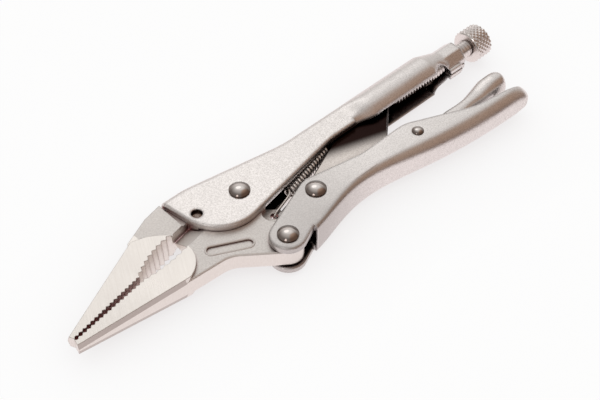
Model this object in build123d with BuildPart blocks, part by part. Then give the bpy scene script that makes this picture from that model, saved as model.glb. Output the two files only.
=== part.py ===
# Long nose locking pliers, closed and locked, lying on one side.
# Every plan position is measured from the jaw pivot: x to the rear, y towards the upper handle.
import os
from math import ceil, cos, dist, hypot, pi, radians, sin, sqrt

from build123d import *

os.makedirs("parts", exist_ok=True)

# Overall reaches from the jaw pivot
tip_reach = 64.1  # jaw pivot to the jaw tips
knob_reach = 104.2  # jaw pivot to the end of the knob
back_y = 12.0  # back of the upper handle at the front
belly_y = -29.0  # lowest line of the lower handle

# Pivots
handle_pivot = (-1.5, -21.4)
link_pivot = (15.6, -14.5)
lever_pivot = (53.3, -18.1)
pin_place = (-14.3, 1.5)
screw_y = 0.6  # height of the adjusting screw's axis

# Thicknesses
sheet = 2.0  # both handles
tail = 5.5  # jaw tails
brow_width = 6.8  # fixed jaw in front of the channel
side_gap = 0.15  # moving jaw to channel wall
back_gap = 0.3  # fixed jaw's tail to the channel's back
ear_gap = 0.4  # moving jaw to handle ear
link_width = 4.8
lever_width = 5.6
lever_sheet = 1.3

# Rivets and pin
rivet_r = 2.0
head_r = 3.05
head_rim = 0.35
head_rise = 1.15
small_rivet_r = 1.2
small_head_r = 1.8
small_head_rise = 0.7
pin_r = 1.65
pin_sunk = 1.0  # staked pin below the channel's face
fit = 0.04  # radial clearance of every rivet, pin and screw
overcut = 0.05  # cuts that run just past a face

# Jaw noses
nose_base = 8.2  # nose thickness where the ground faces end
nose_tip = 3.8
nose_edge = 0.5  # ease of the nose's outer edges, across the face
nose_edge_drop = 1.6  # the same, down the side
fine_pitch = 1.5
fine_depth = 0.55
pipe_pitch = 2.25
pipe_depth = 0.8
lap = 5  # tooth points that a nose shares with its tail
lobe_r = 7.0  # moving jaw's round about the jaw pivot
lobe_gap = 0.35
tail_end_r = 4.45  # moving jaw's round about the handle pivot

# Wire cutter
cutter_slope = 11.5  # angle of the cutting line
cutter_mid = (-20.7, 1.2)
cutter_gap = 0.3  # between the two edges
knife_flank = 5.2  # width of the moving jaw's ground flank
anvil_flank = 0.5  # the same, on the fixed jaw
cutter_land = 0.35  # blunt thickness left at the edge
cutter_front = -2.5  # where the edges start and end along the cutting line
cutter_rear = 3.4
seat_drop = 3.6  # from the cutting line to the parting line behind it
groove_front = -3.5  # where the moving jaw's flank starts and ends
groove_rear = 6.5

# Bare oval field and spring eye of the moving jaw
field_mid = (-14.5, -12.3)
field_length = 13.2
field_width = 3.0
field_slope = -28.0
field_depth = 0.5
eye_place = (2.9, -11.1)
eye_r = 1.15
eye_pocket_r = 3.6
eye_sheet = 1.6  # thickness left round the eye

# Upper handle
channel_bend = 2.2
inner_bend = 0.3
near_round = 0.3  # half width of the flats left on the tube
tube_r = 6.5
flat_end = 43.5
tube_start = 51.5
swell_steps = 4  # sections between flat channel and tube
shoulder_length = 7.5
neck_length = 6.7
thread_show = 5.5  # bare thread between neck and knob
neck_flats = 8.8
neck_sides = 8
neck_lap = 2.0  # flats that start before the shoulder ends
mouth_half = 4.2  # half width of the tube's open slot
mouth_land = 0.6  # slot's end to the neck
seam = 0.5  # slit where the neck's edges meet
lip_width = 3.4  # turned-down edges under the neck
lip_drop = 1.1
lip_round = 1.2
pressed_edge = 0.6  # round of the handles' outer edges
tab_x = 37.0  # spring tab
tab_drop = 2.6
tab_width = 3.4
tab_sheet = 1.2
tab_hole_r = 0.8

# Lower handle
ear_r = 5.3
crest_r = 4.9  # round of the handle's edge over the link pivot
web_start = 6.0

# Toggle link
thrust_x = 56.0  # centre of the link's thrust end
link_end_r = 3.5
heel = (44.2, -12.6)
toggle_gap = 2.2  # link end to screw tip, where the linkage is opened

# Adjusting screw
screw_r = 2.7
knob_r = 5.4
knob_length = 8.0
knob_dome = 1.7
knob_bevel = 0.6
tip_nose = 0.8

# Return spring
wire = 0.7
coil_r = 1.3  # to the middle of the wire
coil_start = (12.2, -7.0)
coil_end = (31.2, -1.6)
turns = 16
bend_r = 1.0  # where the wire leaves the coil
hook_gap = 0.3  # hook to the eye's faces
hook_tail = 6.5  # free end of the front hook, from the eye
tiny = 1e-9  # straight or plain turns of the wire

# Plan points of the fixed jaw
fixed_tip = (-tip_reach, -5.9)
fixed_tip_in = (-63.2, -7.9)
fixed_bite = (-39.1, -4.3)
fixed_throat = (-24.0, 0.7)
fixed_bow = 1.2
fixed_shoulder = (-34.3, 6.9)
fixed_ground = (-28.0, 4.4)
fixed_brow = (-25.4, 10.7)
tail_front = -19.2
tail_rear = -4.0
nose_end = -23.0

# Plan points of the moving jaw
moving_tip = (-63.9, -10.4)
moving_tip_in = (-63.4, -8.15)
moving_bite = (-38.6, -5.5)
moving_throat = (-22.9, -4.8)
moving_bow = -0.7
moving_depth = 0.5  # of its pipe teeth
moving_chin = (-31.0, -14.0)
moving_ground = (-25.3, -11.1)
jaw_waist = (-16.5, -15.0)
jaw_waist_r = 8.0
forged_edge = 0.6  # round of the moving jaw's lower edges
eye_corner = (5.8, -10.3)

# Angles on the rounds about the pivots, in degrees
tail_mid = 145.0  # fixed jaw's tail round the lobe
lobe_mid, lobe_to = 50.0, -74.0
end_from, end_mid, end_to = -14.0, -60.0, -129.0  # moving jaw's end

# Plan points of the upper handle
channel_front = -18.9
cheek = (-15.5, -11.6)
cheek_r = 13.0
waist_x = 33.0
waist_low = -2.5
waist_top = 6.2
slope_end = 21.5
slope_start = -11.0
waist_r = 25.0
slope_end_r = 40.0
slope_start_r = 25.0

# Lower handle: channel bottom and bend radius at evenly spaced stations, and its open edge
belly_top = -8.0
belly_end = 95.0
belly_lows = (-25.2, -22.95, -21.2, -21.6, -23.6, -25.75, -27.35, -28.3, -28.8, belly_y)
belly_bends = (1.4, 1.7, 2.2, 2.8, 3.5, 4.0, 4.3, 4.4, 4.4, 4.4)
handle_rear = 93.2
end_round = 3.6  # round of the closed rear end
handle_edge = ((35.0, -13.4), (52.5, -13.2), (74.0, -22.8))
handle_end_y = -25.3
tip_round = 2.0  # upper corner of the rear end
edge_rounds = (2, 25, 12, 25)  # along the open edge
edge_lap = 0.5  # channel's edge below the ear's

# Link and lever
link_pivot_r = 3.9
heel_r = 1.5
link_edge = 0.4
brow = (45.0, 0.0)
brow_r = 2.0
lever_outline = (
    (45.5, -15.6),
    (62.0, -16.2),
    (75.0, -15.6),
    (85.0, -13.2),
    (93.5, -13.6),
    (92.0, -19.5),
    (87.5, -22.6),
    (62.0, -22.2),
    (45.5, -19.8),
)
lever_edge = 1.5  # round of the lever's pressed edges
lever_rounds = (2, 30, 30, 5, 3.5, 3, 6, 40, 2)

# Worked out from the sizes above
mid_z = tube_r
pivot_x = (tip_reach - knob_reach) / 2
pivot_y = -(back_y + belly_y) / 2
upper_width = tail + 2 * (side_gap + sheet)
lower_width = tail + 2 * (ear_gap + sheet)
thrust = (thrust_x, screw_y)
neck_end = knob_reach - knob_length - thread_show
neck_start = neck_end - neck_length
tube_end = neck_start - shoulder_length
plan = Plane((pivot_x, pivot_y, mid_z))


def station(x):
    return Plane((pivot_x + x, pivot_y, mid_z), x_dir=(0, 1, 0), z_dir=(1, 0, 0))


def side_view(y):
    return Plane((pivot_x, pivot_y + y, mid_z), x_dir=(1, 0, 0), z_dir=(0, -1, 0))


def along(start, end, share, lift):
    dx, dy = end[0] - start[0], end[1] - start[1]
    length = hypot(dx, dy)
    return (start[0] + dx * share - dy / length * lift, start[1] + dy * share + dx / length * lift)


def on_round(middle, radius, angle):
    return (middle[0] + radius * cos(radians(angle)), middle[1] + radius * sin(radians(angle)))


# Saw teeth from start to end, crests on a bowed line and roots cut away from it
def toothed(start, end, pitch, depth, bow=0.0):
    count = ceil(hypot(end[0] - start[0], end[1] - start[1]) / pitch)
    points = [start]
    for step in range(1, 2 * count):
        share = step / (2 * count)
        root = 0.0 if step % 2 == 0 else depth
        points.append(along(start, end, share, 4 * bow * share * (1 - share) + root))
    return points + [end]


# Rivet with a domed head at each end, standing through the pivot
def rivet(place, grip, shank, head, rim, rise):
    with BuildPart() as made:
        with BuildSketch(Plane(plan.from_local_coords((*place, 0)), x_dir=(1, 0, 0), z_dir=(0, -1, 0))):
            with BuildLine():
                Polyline((0, 0), (shank, 0), (shank, grip / 2), (head, grip / 2), (head, grip / 2 + rim))
                TangentArc((0, grip / 2 + rise), (head, grip / 2 + rim), tangent=(1, 0))
                Line((0, grip / 2 + rise), (0, 0))
            make_face()
        revolve(axis=Axis(plan.from_local_coords((*place, 0)), (0, 0, 1)))
        mirror(about=plan)
    return made.part


# Cutting line, and the point of it that lies a given distance from the jaw pivot
cut_dx, cut_dy = cos(radians(cutter_slope)), sin(radians(cutter_slope))


def cutter_point(run, lift):
    return (cutter_mid[0] + run * cut_dx - lift * cut_dy, cutter_mid[1] + run * cut_dy + lift * cut_dx)


def cutter_reach(radius, lift):
    x, y = cutter_point(0, lift)
    back = x * cut_dx + y * cut_dy
    return cutter_point(-back - sqrt(back**2 - x**2 - y**2 + radius**2), lift)


# Ground groove whose floor is the cutting line, on both faces
def cutter_groove(first, last):
    origin = plan.from_local_coords((*cutter_point(first, 0), 0))
    with BuildPart() as groove:
        with BuildSketch(Plane(origin, x_dir=(-cut_dy, cut_dx, 0), z_dir=(cut_dx, cut_dy, 0))):
            with BuildLine():
                Polyline(
                    (0, cutter_land / 2),
                    (anvil_flank, tail / 2),
                    (anvil_flank, nose_base),
                    (-knife_flank, nose_base),
                    (-knife_flank, tail / 2),
                    close=True,
                )
            make_face()
        extrude(amount=last - first)
        mirror(about=plan)
    return groove.part


# Ground nose of a jaw, tapering to its tip, with the long outer edges eased
def ground_nose(teeth, ground, shoulder, tip):
    with BuildPart() as nose:
        with BuildSketch(plan):
            with BuildLine():
                Polyline(teeth)
                ThreePointArc(teeth[-1], ground, shoulder)
                Polyline(shoulder, tip, teeth[0])
            make_face()
        extrude(amount=nose_base / 2, both=True)
        with BuildSketch(side_view(back_y)):
            with BuildLine():
                Polyline(
                    (-tip_reach, nose_tip / 2),
                    (nose_end, nose_base / 2),
                    (nose_end, -nose_base / 2),
                    (-tip_reach, -nose_tip / 2),
                    close=True,
                )
            make_face()
        extrude(amount=back_y - belly_y, mode=Mode.INTERSECT)
        middle = plan.from_local_coords(((tip[0] + shoulder[0]) / 2, (tip[1] + shoulder[1]) / 2, 0))
        side = nose.faces().sort_by_distance(middle)[0]
        long_edges = side.edges().filter_by(lambda edge: edge.length > tip_reach / 4)
        chamfer(long_edges, length=nose_edge_drop, length2=nose_edge, reference=side)
    return nose.part


# Fixed jaw
fixed_teeth = toothed(fixed_tip_in, fixed_bite, fine_pitch, fine_depth)
fixed_pipe = toothed(fixed_bite, fixed_throat, pipe_pitch, pipe_depth, fixed_bow)
fixed_inside = fixed_teeth[-lap:] + fixed_pipe[1:]
tail_top = back_y - sheet - back_gap
clear_lobe = lobe_r + lobe_gap
tail_foot = cutter_reach(clear_lobe, cutter_gap / 2 - seat_drop)
tail_back = (tail_rear, sqrt(clear_lobe**2 - tail_rear**2))
back_slope = (back_y - waist_top) / (slope_end - slope_start)
with BuildPart() as fixed_jaw:
    with BuildSketch(plan):
        with BuildLine():
            Polyline(
                *fixed_inside,
                cutter_point(cutter_front, cutter_gap / 2),
                cutter_point(cutter_rear + cutter_gap, cutter_gap / 2),
                cutter_point(cutter_rear + cutter_gap, cutter_gap / 2 - seat_drop),
                tail_foot,
            )
            ThreePointArc(
                tail_foot,
                on_round((0, 0), clear_lobe, tail_mid),
                tail_back,
            )
            Polyline(
                tail_back,
                (tail_rear, tail_top - back_slope * (tail_rear - slope_start)),
                (slope_start, tail_top),
                (tail_front, tail_top),
                (tail_front, back_y),
                fixed_brow,
                fixed_shoulder,
                fixed_inside[0],
            )
        make_face()
    extrude(amount=tail / 2, both=True)
    with BuildSketch(plan):
        with BuildLine():
            Polyline(
                fixed_inside,
                cutter_point(cutter_front, cutter_gap / 2),
                cutter_point((tail_front - cutter_mid[0]) / cut_dx, cutter_gap / 2),
                (tail_front, back_y),
                fixed_brow,
                fixed_shoulder,
                close=True,
            )
        make_face()
    extrude(amount=brow_width / 2, both=True)
    add(ground_nose(fixed_teeth + fixed_pipe[1:], fixed_ground, fixed_shoulder, fixed_tip))
    add(cutter_groove(cutter_front, cutter_rear + cutter_gap), mode=Mode.SUBTRACT)
    with Locations(plan.from_local_coords((*pin_place, 0))):
        Hole(radius=pin_r + fit)
fixed_jaw.part.label = "fixed_jaw"
export_step(fixed_jaw.part, "parts/fixed_jaw.step")

# Moving jaw
moving_teeth = toothed(moving_tip_in, moving_bite, fine_pitch, -fine_depth)
moving_pipe = toothed(moving_bite, moving_throat, pipe_pitch, -moving_depth, moving_bow)
jaw_foot = cutter_reach(lobe_r, -cutter_gap / 2 - seat_drop)
moving_inside = moving_teeth[-lap:] + moving_pipe[1:]
lobe_leave = on_round((0, 0), lobe_r, lobe_to)
end_start = on_round(handle_pivot, tail_end_r, end_from)
end_stop = on_round(handle_pivot, tail_end_r, end_to)
with BuildPart() as moving_jaw:
    with BuildSketch(plan):
        with BuildLine():
            Polyline(
                *moving_inside,
                cutter_point(cutter_front, -cutter_gap / 2),
                cutter_point(cutter_rear, -cutter_gap / 2),
                cutter_point(cutter_rear, -cutter_gap / 2 - seat_drop),
                jaw_foot,
            )
            ThreePointArc(jaw_foot, on_round((0, 0), lobe_r, lobe_mid), lobe_leave)
            Polyline(lobe_leave, eye_corner, end_start)
            ThreePointArc(end_start, on_round(handle_pivot, tail_end_r, end_mid), end_stop)
            FilletPolyline(end_stop, jaw_waist, moving_chin, moving_inside[0], radius=(jaw_waist_r, 0))
        make_face()
    extrude(amount=tail / 2, both=True)
    waist = moving_jaw.edges().filter_by(
        lambda e: abs(abs(e.center().Z - mid_z) - tail / 2) < overcut
        and moving_chin[0] < e.center().X - pivot_x < handle_pivot[0] - tail_end_r
        and e.center().Y - pivot_y < jaw_waist[1] + sheet
    )
    fillet(waist, radius=forged_edge)
    add(ground_nose(moving_teeth + moving_pipe[1:], moving_ground, moving_chin, moving_tip))
    add(cutter_groove(groove_front, groove_rear), mode=Mode.SUBTRACT)
    with BuildSketch(plan.offset(tail / 2 - field_depth)):
        with Locations(Location((*field_mid, 0), (0, 0, field_slope))):
            SlotOverall(field_length, field_width)
    extrude(amount=field_depth, mode=Mode.SUBTRACT)
    for face in (1, -1):
        with BuildSketch(plan.offset(face * eye_sheet / 2)):
            with Locations(eye_place):
                Circle(eye_pocket_r)
        extrude(amount=face * tail, mode=Mode.SUBTRACT)
    with Locations(plan.from_local_coords((*eye_place, 0))):
        Hole(radius=eye_r)
    with Locations(plan.from_local_coords((0, 0, 0)), plan.from_local_coords((*handle_pivot, 0))):
        Hole(radius=rivet_r + fit)
moving_jaw.part.label = "moving_jaw"
export_step(moving_jaw.part, "parts/moving_jaw.step")

# Upper handle: front channel, tube, shoulder and faceted neck
inner_half = upper_width / 2 - sheet
mid_waist = (waist_low + waist_top) / 2


# Nearly round section of the tube and its shoulder
def tube_section(x, half):
    with BuildSketch(station(x)) as section:
        with Locations((screw_y, 0)):
            RectangleRounded(2 * half, 2 * half, half - near_round)
    return section.sketch


# Section between channel and tube, drawn in by the inset
def swell_section(share, inset):
    grown = share * share * (3 - 2 * share)
    high = waist_top - waist_low + (2 * tube_r - waist_top + waist_low) * grown
    wide = upper_width + (2 * tube_r - upper_width) * grown
    middle = mid_waist + (screw_y - mid_waist) * grown
    bend = channel_bend + (tube_r - near_round - channel_bend) * grown
    with BuildSketch(station(flat_end + (tube_start - flat_end) * share)) as section:
        with Locations((middle, 0)):
            RectangleRounded(high - 2 * inset, wide - 2 * inset, max(bend - inset, inner_bend))
    return section.sketch


with BuildPart() as upper_handle:
    with BuildSketch(plan):
        with BuildLine():
            FilletPolyline(
                (channel_front, back_y),
                cheek,
                (waist_x, waist_low),
                (flat_end, waist_low),
                (flat_end, waist_top),
                (slope_end, waist_top),
                (slope_start, back_y),
                radius=(0, cheek_r, waist_r, 0, 0, slope_end_r, slope_start_r),
                close=True,
            )
        make_face()
    extrude(amount=upper_width / 2, both=True)
    back = upper_handle.edges().filter_by(
        lambda e: abs(abs(e.center().Z - mid_z) - upper_width / 2) < overcut
        and e.center().Y - pivot_y > waist_top - pressed_edge
        and e.center().X - pivot_x > channel_front + sheet
    )
    fillet(back, radius=channel_bend)
    rim = upper_handle.edges().filter_by(
        lambda e: abs(abs(e.center().Z - mid_z) - upper_width / 2) < overcut
        and min(e.center().X - pivot_x - channel_front - sheet, e.center().Y - pivot_y - mid_waist) < 0
        and e.center().X - pivot_x < flat_end
    )
    fillet(rim, radius=pressed_edge)
    for step in range(swell_steps + 1):
        add(swell_section(step / swell_steps, 0.0))
    loft()
    add(tube_section(tube_start, tube_r))
    add(tube_section(tube_end, tube_r))
    add(tube_section(neck_start, neck_flats / 2))
    loft(ruled=True)
    with BuildSketch(station(neck_start - neck_lap)):
        with Locations((screw_y, 0)):
            RegularPolygon(neck_flats / 2, neck_sides, major_radius=False, rotation=180 / neck_sides)
    extrude(amount=neck_length + neck_lap)
    # Edges turned down under the neck
    with BuildSketch(side_view(screw_y)):
        with Locations((neck_start, 0)):
            RectangleRounded(neck_length + 2 * lip_round, lip_width, lip_round)
    extrude(amount=neck_flats / 2 + lip_drop)
    # Inside of the channel, tube and shoulder
    with BuildSketch(plan):
        with BuildLine():
            FilletPolyline(
                (channel_front - sheet, cheek[1] - sheet),
                (flat_end + overcut, cheek[1] - sheet),
                (flat_end + overcut, waist_top - sheet),
                (slope_end, waist_top - sheet),
                (slope_start, back_y - sheet),
                (channel_front - sheet, back_y - sheet),
                radius=(0, 0, 0, slope_end_r, slope_start_r, 0),
                close=True,
            )
        make_face()
    extrude(amount=inner_half, both=True, mode=Mode.SUBTRACT)
    for step in range(swell_steps + 1):
        add(swell_section(step / swell_steps, sheet))
    loft(mode=Mode.SUBTRACT)
    add(tube_section(tube_start, tube_r - sheet))
    add(tube_section(tube_end, tube_r - sheet))
    add(tube_section(neck_start, screw_r + near_round))
    loft(ruled=True, mode=Mode.SUBTRACT)
    with BuildSketch(station(neck_start - neck_lap)):
        with Locations((screw_y, 0)):
            Circle(screw_r + fit)
    extrude(amount=neck_length + neck_lap, mode=Mode.SUBTRACT)
    # Open slot under the tube, and the slit where the neck's edges meet
    with BuildSketch(side_view(screw_y)):
        with BuildLine():
            Polyline(
                (tube_end, mouth_half),
                (tube_start, mouth_half),
                (flat_end, inner_half),
                (flat_end, -inner_half),
                (tube_start, -mouth_half),
                (tube_end, -mouth_half),
            )
            ThreePointArc((tube_end, -mouth_half), (neck_start - mouth_land, 0), (tube_end, mouth_half))
        make_face()
        with Locations(((tube_end + neck_end) / 2, 0)):
            Rectangle(neck_end - tube_end, seam)
    extrude(amount=2 * tube_r, mode=Mode.SUBTRACT)
    # Spring tab lanced from the back
    with BuildSketch(side_view(waist_top)):
        with Locations((tab_x + tab_sheet + tab_drop / 2, 0)):
            Rectangle(tab_drop, tab_width)
    extrude(amount=sheet, mode=Mode.SUBTRACT)
    with BuildSketch(station(tab_x)):
        with Locations((waist_top - sheet - tab_drop / 2, 0)):
            Rectangle(tab_drop, tab_width)
        with Locations((waist_top - sheet - tab_drop / 2, 0)):
            Circle(tab_hole_r, mode=Mode.SUBTRACT)
    extrude(amount=tab_sheet)
    with Locations(plan.from_local_coords((0, 0, 0))):
        Hole(radius=rivet_r + fit)
    with Locations(plan.from_local_coords((*pin_place, 0))):
        Hole(radius=pin_r + fit)
upper_handle.part.label = "upper_handle"
export_step(upper_handle.part, "parts/upper_handle.step")

# Lower handle: rounded channel, then the two ears
lower_half = lower_width / 2


# Channel section at x, drawn in by the inset, its sizes read between the stations
spans = len(belly_lows) - 1


def channel_section(x, inset):
    place = spans * (x - web_start) / (belly_end - web_start)
    first = min(max(int(place), 0), spans - 1)
    low = belly_lows[first] + (belly_lows[first + 1] - belly_lows[first]) * (place - first) + inset
    bend = belly_bends[first] + (belly_bends[first + 1] - belly_bends[first]) * (place - first)
    with BuildSketch(station(x)) as section:
        with Locations(((low + belly_top) / 2 + inset / 2, 0)):
            RectangleRounded(belly_top + inset - low, lower_width - 2 * inset, max(bend - inset, inner_bend))
    return section.sketch


# Pressed ear on one side, its front edge rounded
def ear(face):
    with BuildPart() as made:
        with BuildSketch(plan.offset(face * (lower_half - sheet))):
            with Locations(handle_pivot):
                Circle(ear_r)
            with Locations(link_pivot):
                Circle(crest_r)
            make_hull()
        extrude(amount=face * sheet)
        fillet(made.faces().sort_by(Axis.Z)[-1 if face > 0 else 0].edges(), radius=pressed_edge)
        with BuildSketch(plan.offset(face * (lower_half - sheet))):
            with BuildLine():
                Polyline(
                    link_pivot,
                    (link_pivot[0], link_pivot[1] + crest_r),
                    handle_edge[0],
                    (handle_edge[0][0], link_pivot[1] - crest_r),
                    (link_pivot[0], link_pivot[1] - crest_r),
                    close=True,
                )
            make_face()
        extrude(amount=face * sheet)
    return made.part


# Waste round the closed rear end
def rear_waste():
    middle = ((belly_top + belly_y) / 2, 0)
    high = belly_top - belly_y + 2 * overcut
    with BuildPart() as form:
        with BuildSketch(station(web_start)):
            with Locations(middle):
                RectangleRounded(high, lower_width + 2 * overcut, belly_bends[-1])
        extrude(amount=handle_rear + overcut - web_start)
        fillet(form.faces().sort_by(Axis.X)[-1].edges(), radius=end_round)
    with BuildPart() as waste:
        with BuildSketch(station(handle_rear - 2 * end_round)):
            with Locations(middle):
                Rectangle(2 * high, 2 * lower_width)
        extrude(amount=2 * end_round + sheet)
        add(form.part, mode=Mode.SUBTRACT)
    return waste.part


with BuildPart() as lower_handle:
    for step in range(spans + 1):
        add(channel_section(web_start + step * (belly_end - web_start) / spans, 0.0))
    loft()
    add(rear_waste(), mode=Mode.SUBTRACT)
    for step in range(spans + 1):
        add(channel_section(web_start - sheet + step * (handle_rear - web_start) / spans, sheet))
    loft(mode=Mode.SUBTRACT)
    with BuildSketch(plan):
        with BuildLine():
            FilletPolyline(
                (web_start - sheet, belly_top + sheet),
                (web_start - sheet, link_pivot[1] - edge_lap),
                (link_pivot[0], link_pivot[1] + crest_r - edge_lap),
                *handle_edge,
                (handle_rear, handle_end_y),
                (handle_rear, belly_y - sheet),
                (handle_rear + sheet, belly_y - sheet),
                (handle_rear + sheet, belly_top + sheet),
                radius=(0, 0, *edge_rounds, tip_round, 0, 0, 0),
                close=True,
            )
        make_face()
    extrude(amount=lower_width, both=True, mode=Mode.SUBTRACT)
    for face in (1, -1):
        add(ear(face))
    with Locations(plan.from_local_coords((*handle_pivot, 0)), plan.from_local_coords((*link_pivot, 0))):
        Hole(radius=rivet_r + fit)
    with Locations(plan.from_local_coords((*lever_pivot, 0))):
        Hole(radius=small_rivet_r + fit)
lower_handle.part.label = "lower_handle"
export_step(lower_handle.part, "parts/lower_handle.step")

# Toggle link
with BuildPart() as toggle_link:
    with BuildSketch(plan):
        with Locations(link_pivot):
            Circle(link_pivot_r)
        with Locations(thrust):
            Circle(link_end_r)
        with Locations(brow):
            Circle(brow_r)
        with Locations(heel):
            Circle(heel_r)
        make_hull()
    extrude(amount=link_width / 2, both=True)
    chamfer(toggle_link.edges().filter_by(Axis.Z, reverse=True), length=link_edge)
    with Locations(plan.from_local_coords((*link_pivot, 0))):
        Hole(radius=rivet_r + fit)
toggle_link.part.label = "toggle_link"
export_step(toggle_link.part, "parts/toggle_link.step")

# Release lever: a trough round its rivet with a rounded finger tail
with BuildPart() as release_lever:
    with BuildSketch(plan):
        with BuildLine():
            FilletPolyline(*lever_outline, radius=lever_rounds, close=True)
        make_face()
    extrude(amount=lever_width / 2, both=True)
    fillet(release_lever.edges().filter_by(Axis.Z, reverse=True), radius=lever_edge)
    with BuildSketch(plan):
        with BuildLine():
            Polyline(
                (lever_outline[0][0] - lever_sheet, lever_outline[0][1] - lever_sheet),
                *[(x, y - lever_sheet) for x, y in lever_outline[1:4]],
                (lever_outline[3][0], belly_y),
                (lever_outline[0][0] - lever_sheet, belly_y),
                close=True,
            )
        make_face()
    extrude(amount=lever_width / 2 - lever_sheet, both=True, mode=Mode.SUBTRACT)
    with Locations(plan.from_local_coords((*lever_pivot, 0))):
        Hole(radius=small_rivet_r + fit)
release_lever.part.label = "release_lever"
export_step(release_lever.part, "parts/release_lever.step")

# Adjusting screw with its knob
screw_tip = thrust_x + link_end_r + toggle_gap
knob_front = knob_reach - knob_length
with BuildPart() as adjusting_screw:
    with BuildSketch(Plane(plan.from_local_coords((0, screw_y, 0)), x_dir=(1, 0, 0), z_dir=(0, 0, 1))):
        with BuildLine():
            Polyline(
                (screw_tip, 0),
                (screw_tip, screw_r - tip_nose),
                (screw_tip + tip_nose, screw_r),
                (knob_front, screw_r),
                (knob_front, knob_r - knob_bevel),
                (knob_front + knob_bevel, knob_r),
                (knob_reach - knob_dome, knob_r),
            )
            TangentArc((knob_reach, 0), (knob_reach - knob_dome, knob_r), tangent=(0, 1))
            Line((knob_reach, 0), (screw_tip, 0))
        make_face()
    revolve(axis=Axis(plan.from_local_coords((0, screw_y, 0)), (1, 0, 0)))
adjusting_screw.part.label = "adjusting_screw"
export_step(adjusting_screw.part, "parts/adjusting_screw.step")

# Rivets and the staked pin
pieces = {
    "jaw_pivot_rivet": rivet((0, 0), upper_width, rivet_r, head_r, head_rim, head_rise),
    "handle_pivot_rivet": rivet(handle_pivot, lower_width, rivet_r, head_r, head_rim, head_rise),
    "link_rivet": rivet(link_pivot, lower_width, rivet_r, head_r, head_rim, head_rise),
    "release_lever_rivet": rivet(
        lever_pivot, lower_width, small_rivet_r, small_head_r, head_rim / 2, small_head_rise
    ),
}
for name, piece in pieces.items():
    piece.label = name
    export_step(piece, f"parts/{name}.step")

with BuildPart() as fixed_jaw_pin:
    with BuildSketch(plan):
        with Locations(pin_place):
            Circle(pin_r)
    extrude(amount=upper_width / 2 - pin_sunk, both=True)
fixed_jaw_pin.part.label = "fixed_jaw_pin"
export_step(fixed_jaw_pin.part, "parts/fixed_jaw_pin.step")

# Return spring: a hook through the jaw's eye, the coil, and a hook through the handle's tab
coil_length = hypot(coil_end[0] - coil_start[0], coil_end[1] - coil_start[1])
axis_x, axis_y = (coil_end[0] - coil_start[0]) / coil_length, (coil_end[1] - coil_start[1]) / coil_length
pitch = coil_length / turns
hook_z = eye_sheet / 2 + wire / 2 + hook_gap
hook_back = hook_z - (hook_z - sqrt(hook_z**2 - eye_sheet**2 / 4)) / 2


# Place or direction from its run along the coil, its offset across and its height
def along_coil(origin, run, across, height):
    x = origin[0] + run * axis_x - across * axis_y
    y = origin[1] + run * axis_y + across * axis_x
    return plan.from_local_coords(Vector(x, y, height))


def coil_way(run, across, height):
    return (along_coil((0, 0), run, across, height) - plan.origin).normalized()


def at_tab(x, y):
    return plan.from_local_coords(Vector(tab_x + x, waist_top - sheet - tab_drop / 2 + y, 0))


stops = [
    (along_coil(eye_place, hook_tail, 0, -hook_z), coil_way(-1, 0, 0)),
    (along_coil(eye_place, hook_back, 0, -hook_z), coil_way(-1, 0, 0)),
    (along_coil(eye_place, hook_back - hook_z, 0, 0), coil_way(0, 0, 1)),
    (along_coil(eye_place, hook_back, 0, hook_z), coil_way(1, 0, 0)),
    (along_coil(coil_start, -bend_r, -bend_r, coil_r), coil_way(1, 0, 0)),
]
for half in range(2 * turns + 1):
    turn = half * pi
    place = along_coil(coil_start, pitch * half / 2, coil_r * sin(turn), coil_r * cos(turn))
    stops.append((place, coil_way(pitch / (2 * pi), coil_r * cos(turn), -coil_r * sin(turn))))
stops += [
    (along_coil(coil_end, bend_r, bend_r, coil_r), coil_way(1, 0, 0)),
    (at_tab(-wire, 0), Vector(1, 0, 0)),
    (at_tab(tab_sheet + wire, 0), Vector(1, 0, 0)),
    (at_tab(tab_sheet + wire + bend_r, bend_r), Vector(0, 1, 0)),
    (at_tab(tab_sheet + wire + bend_r, bend_r + wire), Vector(0, 1, 0)),
]
with BuildPart() as return_spring:
    with BuildLine() as path:
        for (start, out), (end, into) in zip(stops, stops[1:]):
            span, both, bend = end - start, out + into, 1 - out.dot(into)
            if bend < tiny and abs(span.normalized().dot(out)) > 1 - tiny:
                Line(start, end)
            else:
                lean = span.dot(both)
                if bend < tiny:
                    reach = span.dot(span) / (2 * lean)
                else:
                    reach = (sqrt(lean**2 + 2 * bend * span.dot(span)) - lean) / (2 * bend)
                middle = (start + out * reach + end - into * reach) / 2
                TangentArc(start, middle, tangent=out)
                TangentArc(middle, end, tangent=end - into * reach - start - out * reach)
    with BuildSketch(Plane(path.line @ 0, z_dir=path.line % 0)):
        Circle(wire / 2)
    sweep()
return_spring.part.label = "return_spring"
export_step(return_spring.part, "parts/return_spring.step")

# Least gap of the wire to itself, over points more than half a turn apart along it
count = 1200  # places looked at along the wire
places = [tuple(path.line @ (step / count)) for step in range(count + 1)]
apart = ceil(pi * coil_r * count / sum(edge.length for edge in path.edges()))
least = min(dist(places[i], places[j]) for i in range(count) for j in range(i + apart, count + 1))
print(f"return_spring: least gap of the wire to itself {least - wire:.2f} mm")
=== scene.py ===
from math import copysign, cos, pi, radians, sin

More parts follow.
